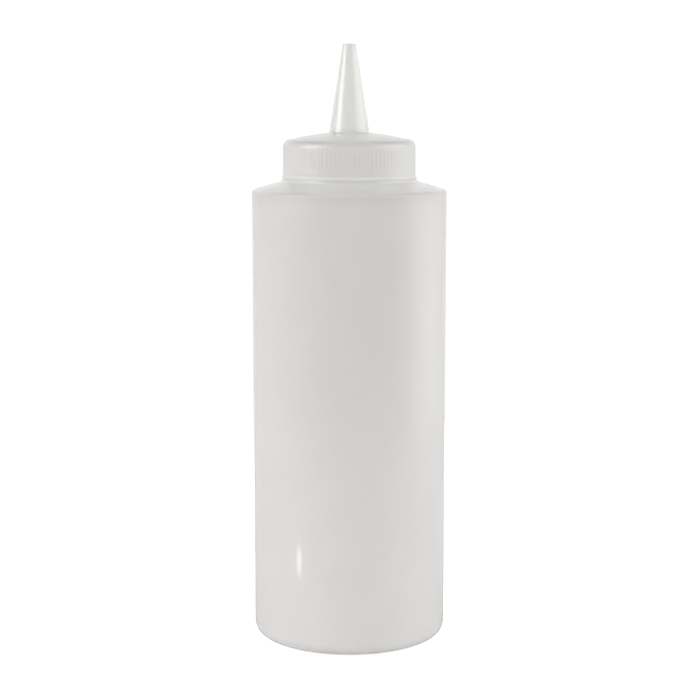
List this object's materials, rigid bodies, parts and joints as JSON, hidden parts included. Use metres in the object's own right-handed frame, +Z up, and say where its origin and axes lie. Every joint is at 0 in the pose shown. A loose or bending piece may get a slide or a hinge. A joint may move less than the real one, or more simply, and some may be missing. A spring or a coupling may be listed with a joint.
{
  "type": "condiment squeeze bottle",
  "caption": "Empty milky plastic squeeze bottle: a tall round body with a low sloped shoulder and a ribbed screw cap with a long open conical nozzle.",
  "frame": {"origin": "centre of the base, on the plane that the bottle stands on", "axes": "+Z up along the bottle's own axis, from the base to the nozzle's tip; X and Y across it"},
  "size_m": [0.058, 0.058, 0.1793],
  "materials": {
    "bottle_plastic": "milky translucent natural polyethylene, satin with a soft gloss",
    "cap_plastic": "milky translucent natural polyethylene, satin, finely ribbed round the side"
  },
  "bodies": {
    "root": {"bottle": "bottle_plastic", "cap": "cap_plastic"}
  },
  "joints": []
}
